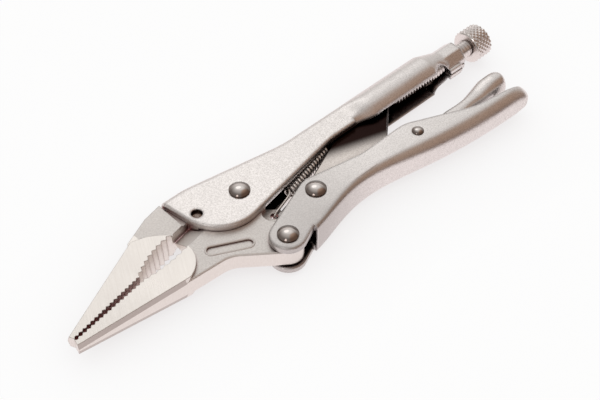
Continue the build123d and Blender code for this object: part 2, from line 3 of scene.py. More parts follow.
import bmesh
import bpy
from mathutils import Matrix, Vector


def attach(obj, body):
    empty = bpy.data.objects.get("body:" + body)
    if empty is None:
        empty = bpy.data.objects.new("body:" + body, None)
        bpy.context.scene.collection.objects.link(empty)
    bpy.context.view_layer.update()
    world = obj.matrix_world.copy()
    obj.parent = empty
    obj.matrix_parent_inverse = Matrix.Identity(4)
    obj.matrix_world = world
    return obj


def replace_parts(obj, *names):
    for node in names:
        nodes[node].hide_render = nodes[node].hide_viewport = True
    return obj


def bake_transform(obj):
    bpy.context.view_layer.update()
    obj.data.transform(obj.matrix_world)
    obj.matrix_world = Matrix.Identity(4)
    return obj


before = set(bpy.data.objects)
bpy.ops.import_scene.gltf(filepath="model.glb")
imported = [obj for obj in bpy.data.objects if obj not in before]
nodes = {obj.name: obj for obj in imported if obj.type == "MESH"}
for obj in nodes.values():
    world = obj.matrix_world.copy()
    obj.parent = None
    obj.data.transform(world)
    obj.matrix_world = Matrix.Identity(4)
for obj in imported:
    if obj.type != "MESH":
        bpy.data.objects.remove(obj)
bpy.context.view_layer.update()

milli = 0.001
weldGap = 0.000002  # points closer than this are one
jawPivot = Vector((-20.05, 8.5, 6.5))  # plan origin in the shared frame, mm


def fromPlan(x, y, z=0.0):
    return (Vector((x, y, z)) + jawPivot) * milli


def toPlan(point):
    return point / milli - jawPivot


# Share of the way from one value to another, held between 0 and 1
def shareOf(value, start, end):
    return min(max((value - start) / (end - start), 0.0), 1.0)


# Node helpers
def addNode(tree, kind, sockets=None, **settings):
    made = tree.nodes.new(kind)
    for name, value in settings.items():
        setattr(made, name, value)
    for name, value in (sockets or {}).items():
        if isinstance(value, bpy.types.NodeSocket):
            tree.links.new(value, made.inputs[name])
        else:
            made.inputs[name].default_value = value
    return made


def doMath(tree, operation, first, second=0.0):
    return addNode(tree, "ShaderNodeMath", {0: first, 1: second}, operation=operation).outputs[0]


def dotProduct(tree, first, second):
    return addNode(tree, "ShaderNodeVectorMath", {0: first, 1: second}, operation="DOT_PRODUCT").outputs["Value"]


def mapRange(tree, value, low, high, first=0.0, last=1.0, kind="LINEAR"):
    sockets = {"Value": value, 1: low, 2: high, 3: first, 4: last}
    return addNode(tree, "ShaderNodeMapRange", sockets, interpolation_type=kind).outputs[0]


def mixValues(tree, share, first, second):
    return addNode(tree, "ShaderNodeMix", {0: share, 2: first, 3: second}, data_type="FLOAT").outputs[0]


def blendColours(tree, share, first, second):
    pair = [value if isinstance(value, bpy.types.NodeSocket) else (*value, 1.0) for value in (first, second)]
    sockets = {0: share, 6: pair[0], 7: pair[1]}
    return addNode(tree, "ShaderNodeMix", sockets, data_type="RGBA", clamp_factor=True).outputs[2]


def newGroup(name, kind, inputs, outputs):
    tree = bpy.data.node_groups.new(name, kind)
    for label, socketType, value in inputs:
        socket = tree.interface.new_socket(name=label, in_out="INPUT", socket_type=socketType)
        if value is not None:
            socket.default_value = value
    for label, socketType in outputs:
        tree.interface.new_socket(name=label, in_out="OUTPUT", socket_type=socketType)
    return tree, tree.nodes.new("NodeGroupInput"), tree.nodes.new("NodeGroupOutput")


def useGroup(tree, group, values):
    made = tree.nodes.new("ShaderNodeGroup")
    made.node_tree = group
    for name, value in values.items():
        made.inputs[name].default_value = value
    return made.outputs


# Shared effects: grain of the plating
def makeGrain():
    tree, given, made = newGroup(
        "nickelGrain",
        "ShaderNodeTree",
        [("Grains", "NodeSocketFloat", 2600.0), ("Clouds", "NodeSocketFloat", 70.0)],
        [("Speckle", "NodeSocketFloat"), ("Cloud", "NodeSocketFloat")],
    )
    place = addNode(tree, "ShaderNodeTexCoord").outputs["Object"]
    fine = addNode(tree, "ShaderNodeTexNoise", {"Vector": place, "Scale": given.outputs["Grains"], "Detail": 2.0})
    wide = addNode(tree, "ShaderNodeTexNoise", {"Vector": place, "Scale": given.outputs["Clouds"], "Detail": 4.0})
    tree.links.new(fine.outputs["Fac"], made.inputs["Speckle"])
    tree.links.new(wide.outputs["Fac"], made.inputs["Cloud"])
    return tree


# Grinding lines, drawn out along the turned Y
def makeBrush():
    tree, given, made = newGroup(
        "grindLines",
        "ShaderNodeTree",
        [("Turn", "NodeSocketFloat", 0.0), ("Lines", "NodeSocketFloat", 3500.0)],
        [("Line", "NodeSocketFloat")],
    )
    stretch = (1.0, 0.03, 0.25)
    place = addNode(tree, "ShaderNodeTexCoord").outputs["Object"]
    turned = addNode(
        tree, "ShaderNodeVectorRotate", {"Vector": place, "Angle": given.outputs["Turn"]}, rotation_type="Z_AXIS"
    )
    drawn = addNode(tree, "ShaderNodeVectorMath", {0: turned.outputs[0], 1: stretch}, operation="MULTIPLY")
    lines = addNode(
        tree,
        "ShaderNodeTexNoise",
        {"Vector": drawn.outputs[0], "Scale": given.outputs["Lines"], "Detail": 3.0, "Roughness": 0.7},
    )
    tree.links.new(lines.outputs["Fac"], made.inputs["Line"])
    return tree


# Softened edges, and a mask of where they are, for painting highlights and shade along them
def makeEdge():
    tree, given, made = newGroup(
        "softEdge",
        "ShaderNodeTree",
        [("Round", "NodeSocketFloat", 0.0003)],
        [("Mask", "NodeSocketFloat"), ("Normal", "NodeSocketVector")],
    )
    flat, edge = 1.0, 0.75  # match of the soft and the sharp normal
    soft = addNode(tree, "ShaderNodeBevel", {"Radius": given.outputs["Round"]}, samples=6).outputs["Normal"]
    sharp = addNode(tree, "ShaderNodeNewGeometry").outputs["Normal"]
    mask = mapRange(tree, dotProduct(tree, soft, sharp), flat, edge)
    tree.links.new(mask, made.inputs["Mask"])
    tree.links.new(soft, made.inputs["Normal"])
    return tree


# Light that reaches a recess between the pieces, or a hollow within one, for painting shade into the colour there
def makeRecess(name, ownOnly):
    tree, given, made = newGroup(
        name,
        "ShaderNodeTree",
        [("Reach", "NodeSocketFloat", 0.005), ("Shut", "NodeSocketFloat", 0.2), ("Clear", "NodeSocketFloat", 0.8)],
        [("Light", "NodeSocketFloat")],
    )
    get = given.outputs
    around = addNode(tree, "ShaderNodeAmbientOcclusion", {"Distance": get["Reach"]}, samples=8, only_local=ownOnly)
    lit = mapRange(tree, around.outputs["AO"], get["Shut"], get["Clear"], kind="SMOOTHSTEP")
    tree.links.new(lit, made.inputs["Light"])
    return tree


# Ground noses stand proud of the cast jaw or lie in front of it, flanks are the cutter's slopes. The nose's upright
# band and the flanks are picked by how they face, for painted shade on the band and painted light on the flanks
def makeGround():
    tree, given, made = newGroup(
        "groundNose",
        "ShaderNodeTree",
        [
            ("Middle", "NodeSocketFloat", 0.0065),
            ("Proud", "NodeSocketFloat", 0.0035),
            ("Front", "NodeSocketFloat", -0.05),
        ],
        [("Mask", "NodeSocketFloat"), ("Band", "NodeSocketFloat"), ("Flank", "NodeSocketFloat")],
    )
    wall, slope, face = 0.2, 0.6, 0.97  # upward part of the normal, at most
    place = addNode(tree, "ShaderNodeTexCoord").outputs["Object"]
    normal = addNode(tree, "ShaderNodeNewGeometry").outputs["Normal"]
    lean = doMath(tree, "ABSOLUTE", addNode(tree, "ShaderNodeSeparateXYZ", {0: normal}).outputs["Z"])
    apart = addNode(tree, "ShaderNodeSeparateXYZ", {0: place}).outputs
    height = doMath(tree, "ABSOLUTE", doMath(tree, "SUBTRACT", apart["Z"], given.outputs["Middle"]))
    proud = doMath(tree, "GREATER_THAN", height, given.outputs["Proud"])
    ahead = doMath(tree, "LESS_THAN", apart["X"], given.outputs["Front"])
    nose = doMath(tree, "MAXIMUM", proud, ahead)
    upright = doMath(tree, "LESS_THAN", lean, slope)
    tree.links.new(doMath(tree, "MAXIMUM", nose, upright), made.inputs["Mask"])
    band = doMath(tree, "MULTIPLY", upright, doMath(tree, "GREATER_THAN", lean, wall))
    tree.links.new(doMath(tree, "MULTIPLY", band, ahead), made.inputs["Band"])
    sloping = doMath(tree, "GREATER_THAN", lean, slope)
    tilted = doMath(tree, "MULTIPLY", sloping, doMath(tree, "LESS_THAN", lean, face))
    tree.links.new(doMath(tree, "MULTIPLY", tilted, doMath(tree, "SUBTRACT", 1.0, nose)), made.inputs["Flank"])
    return tree


grainGroup = makeGrain()
brushGroup = makeBrush()
edgeGroup = makeEdge()
recessGroup = makeRecess("darkRecess", False)
hollowGroup = makeRecess("darkHollow", True)
groundGroup = makeGround()

speckleSpan = (0.35, 0.65)  # noise from no glint to full glint
noiseSpan = (0.3, 0.7)  # the same for clouds and lines
skirtSpan = (0.96, 0.78)  # upward part of the normal from a rivet's crown to its skirt
bumpHeight = 0.0001


def metal(name, finish):
    made = bpy.data.materials.new(name)
    made.use_nodes = True
    tree = made.node_tree
    shader = tree.nodes["Principled BSDF"]
    grain = useGroup(tree, grainGroup, {"Grains": finish["grains"], "Clouds": finish["clouds"]})
    edge = useGroup(tree, edgeGroup, {"Round": finish["round"]})
    recess = useGroup(
        tree,
        hollowGroup if finish.get("hollow") else recessGroup,
        {"Reach": finish["reach"], "Shut": finish["shut"], "Clear": finish["clear"]},
    )
    body = blendColours(tree, grain["Cloud"], finish["dark"], finish["light"])
    grainy = doMath(tree, "MULTIPLY", mapRange(tree, grain["Speckle"], *speckleSpan), finish["speckle"])
    height = doMath(tree, "MULTIPLY", grain["Speckle"], finish["pebble"])
    rough = mapRange(tree, grain["Cloud"], *noiseSpan, finish["smooth"], finish["rough"])
    if "lines" in finish:  # part ground, part as cast
        split = useGroup(tree, groundGroup, {"Proud": finish["proud"], "Front": finish["front"]})
        ground = split["Mask"]
        cast = blendColours(tree, grain["Cloud"], finish["castDark"], finish["castLight"])
        body = blendColours(tree, ground, cast, body)
        brush = useGroup(tree, brushGroup, {"Turn": finish["turn"], "Lines": finish["lines"]})
        streak = doMath(tree, "MULTIPLY", mapRange(tree, brush["Line"], *noiseSpan), finish["streak"])
        streak = doMath(tree, "MULTIPLY", streak, ground)
        body = blendColours(tree, streak, body, finish["streakColour"])
        # painted shade on the nose's upright band, painted light on the cutter's flanks
        body = blendColours(tree, split["Band"], body, finish["paintedBandShade"])
        body = blendColours(tree, split["Flank"], body, finish["paintedFlankLight"])
        grainy = doMath(tree, "MULTIPLY", grainy, doMath(tree, "SUBTRACT", finish["castGrain"], ground))
        scratch = doMath(tree, "MULTIPLY", brush["Line"], finish["scratch"])
        height = mixValues(tree, ground, height, scratch)
        rough = mixValues(tree, ground, finish["castRough"], rough)
        rough = mixValues(tree, split["Flank"], rough, finish["flankRough"])
    body = blendColours(tree, grainy, body, finish["glint"])
    if "fadeWay" in finish:  # another colour towards one end
        # on the link this paints the shadow of the upper handle; on the lower handle it makes the ears darker
        place = addNode(tree, "ShaderNodeTexCoord").outputs["Object"]
        along = dotProduct(tree, place, finish["fadeWay"])
        span = (finish["fadeFrom"], finish["fadeTo"])
        fade = mapRange(tree, along, *span, last=finish["fadeMost"], kind="SMOOTHSTEP")
        body = blendColours(tree, fade, body, finish["fadeColour"])
    # painted shade where little light reaches, in recesses and hollows
    body = blendColours(tree, recess["Light"], finish["paintedShade"], body)
    # edges painted with a highlight colour on some finishes and a shade colour on others
    paintedEdgeShare = doMath(tree, "MULTIPLY", edge["Mask"], finish["paintedEdge"])
    body = blendColours(tree, paintedEdgeShare, body, finish["paintedEdgeColour"])
    facing = edge["Normal"]
    if "doming" in finish:  # low heads that catch the light like full domes, with a dark skirt
        steeper = (finish["doming"], finish["doming"], 1.0)
        wider = addNode(tree, "ShaderNodeVectorMath", {0: facing, 1: steeper}, operation="MULTIPLY")
        facing = addNode(tree, "ShaderNodeVectorMath", {0: wider.outputs[0]}, operation="NORMALIZE").outputs[0]
        upward = doMath(tree, "ABSOLUTE", addNode(tree, "ShaderNodeSeparateXYZ", {0: facing}).outputs["Z"])
        # painted shade in a dark ring round the skirt of each head
        skirt = mapRange(tree, upward, *skirtSpan, last=finish["skirt"], kind="SMOOTHSTEP")
        body = blendColours(tree, skirt, body, finish["paintedShade"])
    bump = addNode(
        tree,
        "ShaderNodeBump",
        {"Height": height, "Normal": facing, "Strength": finish["bump"], "Distance": bumpHeight},
    )
    shader.inputs["Metallic"].default_value = 1.0
    tree.links.new(body, shader.inputs["Base Color"])
    tree.links.new(rough, shader.inputs["Roughness"])
    tree.links.new(bump.outputs[0], shader.inputs["Normal"])
    return made


def dress(names, material):
    for name in names:
        node = nodes[name]
        node.data.materials.clear()
        node.data.materials.append(material)


# Pressed handles in satin nickel
handleFinish = {
    "grains": 3200.0, "clouds": 60.0, "dark": (0.58, 0.55, 0.53), "light": (0.76, 0.73, 0.71),
    "speckle": 0.8, "glint": (0.95, 0.91, 0.89), "pebble": 0.6, "bump": 0.55,
    # painted highlights along the edges
    "smooth": 0.26, "rough": 0.36, "round": 0.0012, "paintedEdge": 0.55, "paintedEdgeColour": (0.95, 0.90, 0.89),
    # painted shade inside the hollows of the pressed channels
    "hollow": True, "reach": 0.014, "shut": 0.45, "clear": 0.92, "paintedShade": (0.030, 0.012, 0.010),
}
handleNickel = metal("handleNickel", handleFinish)
dress(["upper_handle", "lower_handle", "release_lever"], handleNickel)


# Pieces that refine a CAD node start from a welded copy of its mesh
def weldedCopy(name):
    shape = bmesh.new()
    shape.from_mesh(nodes[name].data)
    bmesh.ops.remove_doubles(shape, verts=shape.verts, dist=weldGap)
    return shape


def toMesh(name, shape):
    mesh = bpy.data.meshes.new(name)
    shape.to_mesh(mesh)
    shape.free()
    return mesh


def settledMesh(source):
    bpy.context.view_layer.update()
    return bpy.data.meshes.new_from_object(source.evaluated_get(bpy.context.evaluated_depsgraph_get()))


def addObject(name, data):
    made = bpy.data.objects.new(name, data)
    bpy.context.scene.collection.objects.link(made)
    return made


# The copy's stored normals no longer fit it, so its edges are found again by angle
def meshPiece(name, mesh, material, body, node, crease=20.0):
    mesh.name = name
    mesh.materials.clear()
    mesh.materials.append(material)
    if "custom_normal" in mesh.attributes:
        mesh.attributes.remove(mesh.attributes["custom_normal"])
    mesh.shade_smooth()
    mesh.set_sharp_from_angle(angle=radians(crease))
    made = addObject(name, mesh)
    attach(made, body)
    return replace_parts(made, node)


# Lower handle, darker towards its ears, its rear end drawn in to a thumb-like round
lowerFinish = {
    **handleFinish,
    "fadeWay": (-1.0, 0.0, 0.0), "fadeFrom": -0.020, "fadeTo": 0.012, "fadeMost": 0.55,
    "fadeColour": (0.37, 0.35, 0.34),
}
lowerNickel = metal("lowerNickel", lowerFinish)
endSizes = {"start": 84.0, "end": 93.2, "reach": 10.4, "slices": 16}


def buildHandleEnd(sizes):
    shape = weldedCopy("lower_handle")
    for step in range(sizes["slices"]):
        x = sizes["start"] + (sizes["end"] - sizes["start"]) * (step + 0.5) / sizes["slices"]
        everything = shape.verts[:] + shape.edges[:] + shape.faces[:]
        bmesh.ops.bisect_plane(shape, geom=everything, plane_co=fromPlan(x, 0.0), plane_no=(1.0, 0.0, 0.0))
    for vertex in shape.verts:
        place = toPlan(vertex.co)
        run = (place.x - sizes["start"]) / sizes["reach"]
        if run > 0.0:
            place.z *= max(0.0, 1.0 - run * run) ** 0.5
            vertex.co = fromPlan(*place)
    mesh = toMesh("lowerHandle", shape)
    return meshPiece("lowerHandle", mesh, lowerNickel, "handle", "lower_handle")


# Release lever, its finger tail worked to a full round with a small bulb at the end
leverSizes = {
    "voxel": 0.2, "start": 68.0, "full": 76.0, "end": 93.5, "endRound": 3.2, "lowest": -20.6, "bin": 0.5,
    "fullness": 2.4, "swell": 0.4, "swellFrom": 81.0, "swellTo": 88.0, "ease": 0.5, "turns": 10, "crease": 70.0,
}


def buildLever(sizes):
    source = addObject("leverSource", toMesh("leverWelded", weldedCopy("release_lever")))
    remesh = source.modifiers.new("voxels", "REMESH")
    remesh.mode = "VOXEL"
    remesh.voxel_size = sizes["voxel"] * milli
    even = settledMesh(source)
    source.modifiers.clear()
    source.data = even
    places = [toPlan(vertex.co) for vertex in even.vertices]
    spans = {}  # lowest and highest point of the lever at each station
    for place in places:
        station = round(place.x / sizes["bin"])
        low, high = spans.get(station, (place.y, place.y))
        spans[station] = (min(low, place.y), max(high, place.y))
    for vertex, place in zip(even.vertices, places):
        share = shareOf(place.x, sizes["start"], sizes["full"])
        if share == 0.0:
            continue
        low, high = spans[round(place.x / sizes["bin"])]
        low = max(low, sizes["lowest"])
        y = max(place.y, low)
        across = (y - (low + high) / 2) / max((high - low) / 2, sizes["bin"])
        along = max(0.0, (place.x - sizes["end"]) / sizes["endRound"] + 1.0)
        crown = (max(0.0, 1.0 - abs(across) ** sizes["fullness"]) * max(0.0, 1.0 - along * along)) ** 0.5
        crown *= 1.0 + sizes["swell"] * shareOf(place.x, sizes["swellFrom"], sizes["swellTo"])
        place.y += (y - place.y) * share
        place.z *= 1.0 + (crown - 1.0) * share
        vertex.co = fromPlan(*place)
    smooth = source.modifiers.new("round", "SMOOTH")
    smooth.factor = sizes["ease"]
    smooth.iterations = sizes["turns"]
    rounded = settledMesh(source)
    source.modifiers.clear()
    bpy.data.objects.remove(source)
    return meshPiece(
        "releaseLever", rounded, handleNickel, "lever", "release_lever", sizes["crease"]
    )


lowerHandle = buildHandleEnd(endSizes)
lever = buildLever(leverSizes)
print("handle end and lever:", len(lowerHandle.data.polygons), len(lever.data.polygons), "faces")

# Jaws, ground at the nose and as cast behind it
jawFinish = {
    "grains": 2400.0, "clouds": 80.0, "dark": (0.80, 0.76, 0.72), "light": (0.90, 0.86, 0.82),
    "castDark": (0.56, 0.53, 0.51), "castLight": (0.72, 0.68, 0.65), "castGrain": 1.2, "castRough": 0.44,
    # painted shade on the nose's upright band, painted light on the cutter's flanks
    "paintedBandShade": (0.50, 0.45, 0.42), "paintedFlankLight": (0.92, 0.89, 0.87), "flankRough": 0.7,
    "speckle": 0.4, "glint": (0.86, 0.83, 0.80), "pebble": 0.7, "bump": 0.45,
    # painted shade along the edges
    "smooth": 0.27, "rough": 0.36, "round": 0.00025, "paintedEdge": 0.7, "paintedEdgeColour": (0.30, 0.24, 0.21),
    "turn": radians(28.0), "lines": 3600.0, "streak": 0.32, "streakColour": (0.62, 0.57, 0.53), "scratch": 0.6,
    "proud": 0.0035, "front": -0.0511,
    # painted shade in recesses, as at the foot of the ground pads
    "reach": 0.0022, "shut": 0.18, "clear": 0.78, "paintedShade": (0.24, 0.08, 0.075),
}
jawSteel = metal("jawSteel", jawFinish)
dress(["fixed_jaw", "moving_jaw"], jawSteel)

# Fixed jaw, its brow levelled to the nose, the lower edge of its pipe teeth drawn towards the other jaw
noseSizes = {
    "tip": -64.1, "end": -23.0, "front": -34.4, "tipHalf": 1.9, "endHalf": 4.1,
    "bite": (-39.1, -4.3), "throat": (-24.0, 0.7), "bow": 1.2, "toothReach": 1.1, "lean": 1.0,
}


def buildFixedJaw(sizes):
    shape = weldedCopy("fixed_jaw")
    bite, throat = Vector(sizes["bite"]), Vector(sizes["throat"])
    for vertex in shape.verts:
        place = toPlan(vertex.co)
        share = (place.x - sizes["tip"]) / (sizes["end"] - sizes["tip"])
        half = sizes["tipHalf"] + (sizes["endHalf"] - sizes["tipHalf"]) * share
        if place.x < sizes["front"] and abs(place.z) > half:
            place.z = copysign(half, place.z)
            vertex.co = fromPlan(*place)
        run = (place.x - bite.x) / (throat.x - bite.x)
        hump = 4.0 * run * (1.0 - run)
        line = bite.y + (throat.y - bite.y) * run + sizes["bow"] * hump
        if place.z < 0.0 < hump and abs(place.y - line) < sizes["toothReach"]:
            place.y -= sizes["lean"] * hump
            vertex.co = fromPlan(*place)
    bmesh.ops.remove_doubles(shape, verts=shape.verts, dist=weldGap)
    bmesh.ops.dissolve_degenerate(shape, edges=shape.edges, dist=weldGap)
    mesh = toMesh("fixedJaw", shape)
    return meshPiece("fixedJaw", mesh, jawSteel, "frame", "fixed_jaw")


fixedJaw = buildFixedJaw(noseSizes)
print("fixed jaw:", len(fixedJaw.data.polygons), "faces")

# Toggle link, painted dark with the shadow of the upper handle where it lies under it
linkFinish = {
    "grains": 2400.0, "clouds": 90.0, "dark": (0.46, 0.42, 0.39), "light": (0.60, 0.55, 0.52),
    "speckle": 0.4, "glint": (0.75, 0.70, 0.66), "pebble": 0.7, "bump": 0.4,
    # painted highlights along the edges
    "smooth": 0.16, "rough": 0.22, "round": 0.0003, "paintedEdge": 0.8, "paintedEdgeColour": (0.92, 0.86, 0.84),
    # painted shadow of the upper handle, fading to near black
    "fadeWay": (0.31, 0.95, 0.0), "fadeFrom": 0.0030, "fadeTo": 0.0084, "fadeMost": 1.0,
    "fadeColour": (0.014, 0.006, 0.005),
    # painted shade in recesses
    "reach": 0.006, "shut": 0.30, "clear": 0.90, "paintedShade": (0.014, 0.006, 0.005),
}
linkNickel = metal("linkNickel", linkFinish)
dress(["toggle_link"], linkNickel)

# Domed rivets and the staked pin
rivetFinish = {
    "grains": 5000.0, "clouds": 160.0, "dark": (0.74, 0.69, 0.66), "light": (0.88, 0.83, 0.80),
    "speckle": 0.1, "glint": (0.80, 0.76, 0.74), "pebble": 0.1, "bump": 0.1,
    # painted shade in a dark ring along the rim
    "smooth": 0.05, "rough": 0.10, "round": 0.0004, "paintedEdge": 0.9, "paintedEdgeColour": (0.16, 0.11, 0.09),
    # painted shade near the plate and round the skirt
    "reach": 0.004, "shut": 0.80, "clear": 1.0, "paintedShade": (0.10, 0.065, 0.05), "doming": 1.8, "skirt": 0.8,
}
rivetSteel = metal("rivetSteel", rivetFinish)
rivetNames = ["jaw_pivot_rivet", "handle_pivot_rivet", "link_rivet", "release_lever_rivet", "fixed_jaw_pin"]
dress(rivetNames, rivetSteel)
print("finishes on the handles, jaws, link and rivets")


# Pieces made with Geometry Nodes
def bake(name, shape, tree, values):
    source = addObject(name + "Source", shape)
    modifier = source.modifiers.new("nodes", "NODES")
    modifier.node_group = tree
    for item in tree.interface.items_tree:
        if item.in_out == "INPUT" and item.name in values:
            modifier[item.identifier] = values[item.name]
    mesh = settledMesh(source)
    mesh.name = name
    source.modifiers.clear()
    bpy.data.objects.remove(source)
    return addObject(name, mesh)


def lineCurve(name, points, kind="POLY"):
    curve = bpy.data.curves.new(name, "CURVE")
    curve.dimensions = "3D"
    spline = curve.splines.new(kind)
    spline.points.add(len(points) - 1)
    for point, place in zip(spline.points, points):
        point.co = (*place, 1.0)
    if kind == "NURBS":
        spline.order_u = 4
        spline.use_endpoint_u = True
        spline.resolution_u = 6
    return curve


def endTree(tree, geometry, material, made):
    smooth = addNode(tree, "GeometryNodeSetShadeSmooth", {"Geometry": geometry, "Shade Smooth": True})
    real = addNode(tree, "GeometryNodeRealizeInstances", {"Geometry": smooth.outputs[0]})
    coloured = addNode(tree, "GeometryNodeSetMaterial", {"Geometry": real.outputs[0], "Material": material})
    tree.links.new(coloured.outputs[0], made.inputs["Geometry"])
    return tree


# Turned piece: a profile curve revolved about X, sunk by a height map of thread or knurl
def makeTurned():
    tree, given, made = newGroup(
        "turnedPiece",
        "GeometryNodeTree",
        [
            ("Geometry", "NodeSocketGeometry", None),
            ("Around", "NodeSocketInt", 64),
            ("Along", "NodeSocketInt", 64),
            ("Thread Start", "NodeSocketFloat", 0.0),
            ("Thread End", "NodeSocketFloat", 0.0),
            ("Pitch", "NodeSocketFloat", 0.001),
            ("Thread Depth", "NodeSocketFloat", 0.0),
            ("Knurl Start", "NodeSocketFloat", 0.0),
            ("Knurl End", "NodeSocketFloat", 0.0),
            ("Knurl Count", "NodeSocketFloat", 24.0),
            ("Knurl Pitch", "NodeSocketFloat", 0.0015),
            ("Knurl Depth", "NodeSocketFloat", 0.0),
            ("Centre", "NodeSocketVector", (0.0, 0.0, 0.0)),
            ("Material", "NodeSocketMaterial", None),
        ],
        [("Geometry", "NodeSocketGeometry")],
    )
    threadEase, knurlEase = 0.0006, 0.0004  # run-out at both ends
    get = given.outputs
    grid = addNode(
        tree,
        "GeometryNodeMeshGrid",
        {"Size X": 1.0, "Size Y": 1.0, "Vertices X": get["Around"], "Vertices Y": get["Along"]},
    )
    position = addNode(tree, "GeometryNodeInputPosition").outputs[0]
    apart = addNode(tree, "ShaderNodeSeparateXYZ", {0: position}).outputs
    share = doMath(tree, "ADD", apart["X"], 0.5)  # round the axis
    run = doMath(tree, "ADD", apart["Y"], 0.5)  # along the profile
    profile = addNode(
        tree, "GeometryNodeSampleCurve", {"Curves": get["Geometry"], "Factor": run}, mode="FACTOR", use_all_curves=True
    )
    point = addNode(tree, "ShaderNodeSeparateXYZ", {0: profile.outputs["Position"]}).outputs
    lean = addNode(tree, "ShaderNodeSeparateXYZ", {0: profile.outputs["Tangent"]}).outputs

    def within(first, last, ease):
        rising = mapRange(tree, point["X"], get[first], doMath(tree, "ADD", get[first], ease))
        falling = mapRange(tree, point["X"], doMath(tree, "SUBTRACT", get[last], ease), get[last], 1.0, 0.0)
        return doMath(tree, "MULTIPLY", rising, falling)

    def wave(value):
        return doMath(tree, "MULTIPLY", doMath(tree, "PINGPONG", value, 0.5), 2.0)

    spiral = doMath(tree, "SUBTRACT", doMath(tree, "DIVIDE", point["X"], get["Pitch"]), share)
    groove = doMath(tree, "MULTIPLY", wave(spiral), get["Thread Depth"])
    groove = doMath(tree, "MULTIPLY", groove, within("Thread Start", "Thread End", threadEase))
    turn = doMath(tree, "MULTIPLY", share, get["Knurl Count"])
    climb = doMath(tree, "DIVIDE", point["X"], get["Knurl Pitch"])
    left = wave(doMath(tree, "ADD", turn, climb))
    right = wave(doMath(tree, "SUBTRACT", turn, climb))
    cut = doMath(tree, "SUBTRACT", 1.0, doMath(tree, "MINIMUM", left, right))
    knurl = doMath(tree, "MULTIPLY", cut, get["Knurl Depth"])
    knurl = doMath(tree, "MULTIPLY", knurl, within("Knurl Start", "Knurl End", knurlEase))
    sink = doMath(tree, "ADD", groove, knurl)
    radius = doMath(tree, "SUBTRACT", point["Y"], doMath(tree, "MULTIPLY", sink, lean["X"]))
    radius = doMath(tree, "MAXIMUM", radius, 0.0)
    ahead = doMath(tree, "ADD", point["X"], doMath(tree, "MULTIPLY", sink, lean["Y"]))
    angle = doMath(tree, "MULTIPLY", share, 2 * pi)
    place = addNode(
        tree,
        "ShaderNodeCombineXYZ",
        {
            0: ahead,
            1: doMath(tree, "MULTIPLY", radius, doMath(tree, "COSINE", angle)),
            2: doMath(tree, "MULTIPLY", radius, doMath(tree, "SINE", angle)),
        },
    )
    where = addNode(tree, "ShaderNodeVectorMath", {0: place.outputs[0], 1: get["Centre"]}, operation="ADD")
    moved = addNode(
        tree, "GeometryNodeSetPosition", {"Geometry": grid.outputs["Mesh"], "Position": where.outputs[0]}
    )
    closed = addNode(tree, "GeometryNodeMergeByDistance", {"Geometry": moved.outputs[0], "Distance": weldGap})
    return endTree(tree, closed.outputs[0], get["Material"], made)


# Adjusting screw: threaded shank and knurled knob
screwFinish = {
    "grains": 4000.0, "clouds": 120.0, "dark": (0.72, 0.67, 0.64), "light": (0.86, 0.81, 0.79),
    "speckle": 0.15, "glint": (0.90, 0.86, 0.84), "pebble": 0.2, "bump": 0.2,
    # painted highlights along the edges, painted shade in the thread and knurl grooves
    "smooth": 0.18, "rough": 0.28, "round": 0.0001, "paintedEdge": 0.5, "paintedEdgeColour": (0.92, 0.88, 0.86),
    "reach": 0.0012, "shut": 0.30, "clear": 0.95, "paintedShade": (0.07, 0.035, 0.03),
}
screwNickel = metal("screwNickel", screwFinish)
turnedTree = makeTurned()
screwSizes = {
    "tip": 61.7, "tipFlat": 1.9, "nose": 0.8, "shank": 2.7, "sunk": 0.5, "pitch": 1.2, "threadDepth": 0.6,
    "knobFront": 96.2, "knobEnd": 104.2, "knob": 5.4, "bevel": 0.6, "dome": 1.7, "domeSteps": 12, "axisY": 0.6,
    "knurlCount": 22.0, "knurlPitch": 1.6, "knurlDepth": 0.38, "knurlFront": 0.3, "knurlRear": 0.5,
    "threadAround": 41, "threadAlong": 480, "knobAround": 265, "knobAlong": 220,
}


def turned(name, points, values):
    profile = lineCurve(name + "Profile", [Vector((x, r, 0.0)) * milli for x, r in points])
    made = bake(name, profile, turnedTree, values)
    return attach(made, "screw")


def buildScrew(sizes):
    centre = fromPlan(0.0, sizes["axisY"])
    front, reach = sizes["knobFront"], sizes["knob"]
    shankEnd = front + sizes["sunk"]
    shank = [
        (sizes["tip"], 0.0),
        (sizes["tip"], sizes["tipFlat"]),
        (sizes["tip"] + sizes["nose"], sizes["shank"]),
        (shankEnd, sizes["shank"]),
        (shankEnd, 0.0),
    ]
    thread = turned(
        "adjustingThread",
        shank,
        {
            "Around": sizes["threadAround"], "Along": sizes["threadAlong"],
            "Thread Start": sizes["tip"] * milli, "Thread End": shankEnd * milli,
            "Pitch": sizes["pitch"] * milli, "Thread Depth": sizes["threadDepth"] * milli,
            "Centre": centre, "Material": screwNickel,
        },
    )
    ball = (reach**2 + sizes["dome"] ** 2) / (2 * sizes["dome"])  # radius of the domed end
    knob = [(front, 0.0), (front, reach - sizes["bevel"]), (front + sizes["bevel"], reach)]
    for step in range(sizes["domeSteps"] + 1):
        radius = reach * (1 - step / sizes["domeSteps"])
        knob.append((sizes["knobEnd"] - ball + (ball**2 - radius**2) ** 0.5, radius))
    grip = turned(
        "knurledKnob",
        knob,
        {
            "Around": sizes["knobAround"], "Along": sizes["knobAlong"],
            "Knurl Start": (front + sizes["knurlFront"]) * milli,
            "Knurl End": (sizes["knobEnd"] - sizes["knurlRear"]) * milli,
            "Knurl Count": sizes["knurlCount"], "Knurl Pitch": sizes["knurlPitch"] * milli,
            "Knurl Depth": sizes["knurlDepth"] * milli, "Centre": centre, "Material": screwNickel,
        },
    )
    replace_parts(grip, "adjusting_screw")
    return thread, grip


thread, knob = buildScrew(screwSizes)
print("screw:", len(thread.data.polygons) + len(knob.data.polygons), "faces")


